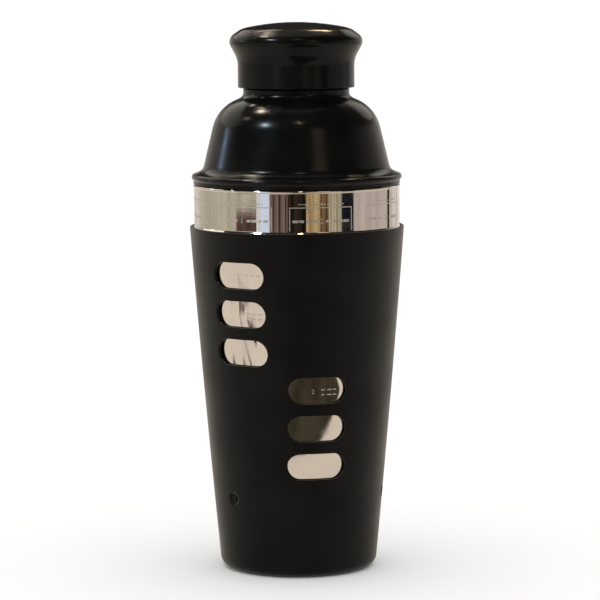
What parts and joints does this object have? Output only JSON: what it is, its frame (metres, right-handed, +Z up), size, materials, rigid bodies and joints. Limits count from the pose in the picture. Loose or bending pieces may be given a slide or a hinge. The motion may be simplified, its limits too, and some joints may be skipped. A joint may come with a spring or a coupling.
{
  "type": "cocktail shaker",
  "caption": "Tapered cocktail shaker: a steel cup that turns inside a windowed plastic sleeve, with a domed strainer top and a mushroom cap that is also the measure.",
  "frame": {"origin": "middle of the foot, on the plane that the shaker stands on", "axes": "+Z up along the turning axis; -Y is the front, midway between the two columns of windows"},
  "size_m": [0.1032, 0.1032, 0.263],
  "materials": {
    "satin_plastic": "moulded, satin black",
    "gloss_plastic": "moulded, gloss black",
    "mirror_steel": "mirror-polished stainless steel",
    "seal_rubber": "matt silicone, dark grey",
    "glide_plastic": "natural white, smooth"
  },
  "bodies": {
    "sleeve": {"outer_sleeve": "satin_plastic", "sleeve_pin_left": "satin_plastic", "sleeve_pin_right": "satin_plastic", "sleeve_pin_rear": "satin_plastic", "foot_ring": "seal_rubber", "glide_washer": "glide_plastic"},
    "cup": {"shaker_cup": "mirror_steel"},
    "top": {"top_dome": "gloss_plastic", "top_seal": "seal_rubber", "strainer_disc": "mirror_steel", "strainer_retainer": "gloss_plastic", "cap_seal": "seal_rubber"},
    "cap": {"cap_shell": "gloss_plastic", "measure_liner": "gloss_plastic"}
  },
  "joints": [
    {"name": "cup_turn", "type": "hinge", "parent": "sleeve", "child": "cup", "pos_m": [0, 0, 0.1], "axis": [0, 0, 1], "continuous": true},
    {"name": "top_lift", "type": "slide", "parent": "cup", "child": "top", "axis": [0, 0, 1], "range_m": [0, 0.06]},
    {"name": "cap_lift", "type": "slide", "parent": "top", "child": "cap", "axis": [0, 0, 1], "range_m": [0, 0.04]}
  ]
}
